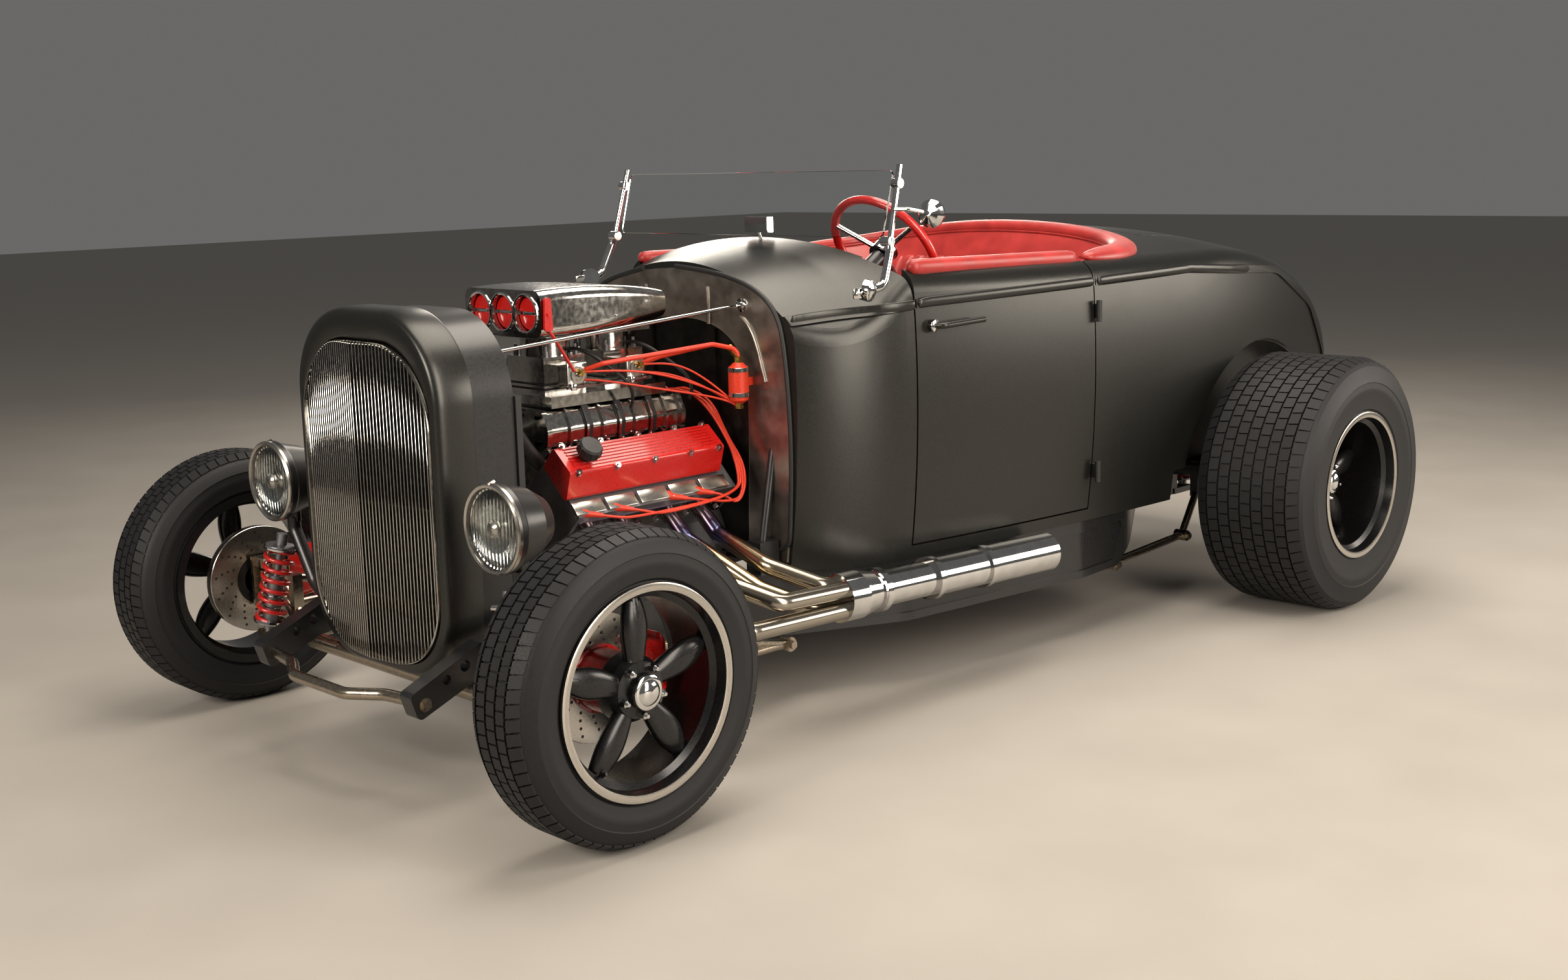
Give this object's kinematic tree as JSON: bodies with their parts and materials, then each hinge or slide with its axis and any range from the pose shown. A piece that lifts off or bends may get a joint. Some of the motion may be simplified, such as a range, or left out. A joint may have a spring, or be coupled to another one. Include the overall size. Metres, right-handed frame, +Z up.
{
  "type": "hot rod roadster",
  "caption": "Open two-door roadster with a blown vee engine in the open, a dropped front axle, open frame rails, side pipes, doors, a decklid and steering that turn.",
  "frame": {"origin": "on the ground, under the middle of the car's length and width", "axes": "+X to the car's left, the front faces -Y, +Z up"},
  "size_m": [2.14, 3.854, 1.375],
  "materials": {
    "bare_steel": "dark brushed",
    "black_plastic": "matte",
    "body_paint": "satin dark grey",
    "carpet": "carpet",
    "cast_alloy": "cast",
    "chrome": "polished",
    "frame_paint": "satin black",
    "glass": "clear",
    "heat_steel": "heat tinted",
    "nickel": "warm nickel",
    "polished_alloy": "polished",
    "red_leather": "stitched",
    "red_paint": "gloss red",
    "tyre": "matt",
    "wheel_paint": "satin grey"
  },
  "bodies": {
    "body": {"cowl": "body_paint", "rear_body": "body_paint", "firewall": "bare_steel", "floor_pan": "carpet", "dashboard": "black_plastic", "seat_cushion": "red_leather", "seat_back": "red_leather", "cockpit_trim": "red_leather", "frame_rails": "frame_paint", "crossmembers": "frame_paint", "spreader_bars": "nickel", "grille_shell": "body_paint", "grille_insert": "polished_alloy", "radiator": "black_plastic", "support_rods": "chrome", "headlamps": "bare_steel", "headlamp_lenses": "glass", "windscreen_posts": "chrome", "windscreen_glass": "glass", "front_axle": "nickel", "coil_springs": "red_paint", "dampers": "cast_alloy", "radius_rods": "nickel", "rear_axle": "frame_paint", "engine_block": "cast_alloy", "gearbox": "cast_alloy", "propshaft": "frame_paint", "valve_covers": "red_paint", "supercharger": "polished_alloy", "blower_drive": "polished_alloy", "carburettors": "polished_alloy", "air_scoop": "polished_alloy", "scoop_butterflies": "red_paint", "exhaust_headers": "heat_steel", "side_pipes": "chrome", "ignition": "red_paint", "fuel_lines": "red_paint", "steering_column": "frame_paint", "gear_lever": "chrome", "fuel_tank": "frame_paint", "tail_lamps": "red_paint"},
    "steering_wheel": {"steering_wheel": "red_paint"},
    "knuckle_left": {"knuckle_left": "nickel"},
    "knuckle_right": {"knuckle_right": "nickel"},
    "tie_rod": {"tie_rod": "nickel"},
    "wheel_front_left": {"wheel_front_left": "wheel_paint", "tyre_front_left": "tyre"},
    "wheel_front_right": {"wheel_front_right": "wheel_paint", "tyre_front_right": "tyre"},
    "wheel_rear_left": {"wheel_rear_left": "wheel_paint", "tyre_rear_left": "tyre"},
    "wheel_rear_right": {"wheel_rear_right": "wheel_paint", "tyre_rear_right": "tyre"},
    "door_left": {"door_left": "body_paint", "door_trim_left": "red_leather"},
    "door_right": {"door_right": "body_paint", "door_trim_right": "red_leather"},
    "decklid": {"decklid": "body_paint"}
  },
  "joints": [
    {"name": "steer_left", "type": "hinge", "parent": "body", "child": "knuckle_left", "pos_m": [0.64, -1.593, 0.334], "axis": [0, 0, 1], "range_deg": [-28, 28]},
    {"name": "steer_right", "type": "hinge", "parent": "body", "child": "knuckle_right", "pos_m": [-0.64, -1.593, 0.334], "axis": [0, 0, 1], "range_deg": [-28, 28]},
    {"name": "tie_rod_turn", "type": "hinge", "parent": "knuckle_left", "child": "tie_rod", "pos_m": [0.64, -1.417, 0.25], "axis": [0, 0, 1], "range_deg": [-28, 28]},
    {"name": "steering_wheel_turn", "type": "hinge", "parent": "body", "child": "steering_wheel", "pos_m": [0.337, -0.241, 1.146], "axis": [0, 0.84, 0.5426], "range_deg": [-448, 448]},
    {"name": "front_left_roll", "type": "hinge", "parent": "knuckle_left", "child": "wheel_front_left", "pos_m": [0.792, -1.593, 0.334], "axis": [1, 0, 0], "continuous": true},
    {"name": "front_right_roll", "type": "hinge", "parent": "knuckle_right", "child": "wheel_front_right", "pos_m": [-0.792, -1.593, 0.334], "axis": [1, 0, 0], "continuous": true},
    {"name": "rear_left_roll", "type": "hinge", "parent": "body", "child": "wheel_rear_left", "pos_m": [0.887, 1.099, 0.385], "axis": [1, 0, 0], "continuous": true},
    {"name": "rear_right_roll", "type": "hinge", "parent": "body", "child": "wheel_rear_right", "pos_m": [-0.887, 1.099, 0.385], "axis": [1, 0, 0], "continuous": true},
    {"name": "door_left_swing", "type": "hinge", "parent": "body", "child": "door_left", "pos_m": [0.656, 0.3, 0.7], "axis": [0, 0, 1], "range_deg": [0, 68]},
    {"name": "door_right_swing", "type": "hinge", "parent": "body", "child": "door_right", "pos_m": [-0.656, 0.3, 0.7], "axis": [0, 0, -1], "range_deg": [0, 68]},
    {"name": "decklid_lift", "type": "hinge", "parent": "body", "child": "decklid", "pos_m": [0, 0.9055, 1.166], "axis": [1, 0, 0], "range_deg": [0, 60]}
  ],
  "couplings": [
    {"joint": "steer_right", "follows": "steer_left", "ratio": 1},
    {"joint": "tie_rod_turn", "follows": "steer_left", "ratio": -1},
    {"joint": "steering_wheel_turn", "follows": "steer_left", "ratio": 16}
  ]
}
